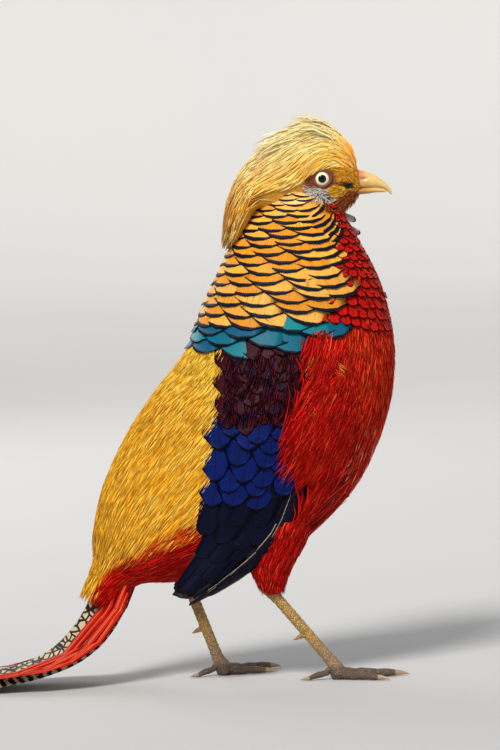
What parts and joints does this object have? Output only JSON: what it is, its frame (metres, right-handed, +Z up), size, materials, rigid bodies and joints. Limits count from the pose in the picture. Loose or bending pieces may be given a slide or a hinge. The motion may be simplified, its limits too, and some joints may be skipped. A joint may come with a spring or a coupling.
{
  "type": "golden pheasant cock",
  "caption": "Life-size standing golden pheasant cock with a silky crest, banded cape, scarlet breast and a long barred tail trailing on the floor.",
  "frame": {"origin": "on the floor under the middle of the bird's bounding box", "axes": "+X the way the bird faces, +Z up; its right side is at -Y"},
  "size_m": [0.8602, 0.1296, 0.3855],
  "materials": {
    "gold_plumes": "silky golden-yellow plumes, satin sheen",
    "amber_cape": "amber feathers tipped with dark blue bands",
    "turquoise_mantle": "iridescent blue-green feathers edged in black",
    "scarlet_plumage": "scarlet hair-like plumes",
    "blue_wing": "deep blue and maroon wing feathers with a satin gloss",
    "barred_tail": "black tail feathers with buff spots and bars",
    "rusty_face": "short rusty bristles over pinkish skin",
    "bill_horn": "smooth horn-yellow bill",
    "leg_scales": "yellow-brown scutes and small scales",
    "claw_horn": "worn horn claws",
    "pale_eye": "wet, pale yellow iris with a dark pupil"
  },
  "bodies": {
    "root": {"bill_lower": "bill_horn", "bill_upper": "bill_horn", "cape": "amber_cape", "claw_left_hind": "claw_horn", "claw_left_inner": "claw_horn", "claw_left_middle": "claw_horn", "claw_left_outer": "claw_horn", "claw_right_hind": "claw_horn", "claw_right_inner": "claw_horn", "claw_right_middle": "claw_horn", "claw_right_outer": "claw_horn", "crest": "gold_plumes", "eye_left": "pale_eye", "eye_right": "pale_eye", "foot_left": "leg_scales", "foot_right": "leg_scales", "head": "rusty_face", "mantle": "turquoise_mantle", "rump": "gold_plumes", "shank_left": "leg_scales", "shank_right": "leg_scales", "tail_bend": "barred_tail", "tail_coverts_left": "scarlet_plumage", "tail_coverts_right": "scarlet_plumage", "tail_end": "barred_tail", "tail_root": "barred_tail", "tail_train": "barred_tail", "thigh_left": "scarlet_plumage", "thigh_right": "scarlet_plumage", "torso": "scarlet_plumage", "wing_left": "blue_wing", "wing_right": "blue_wing"}
  },
  "joints": []
}
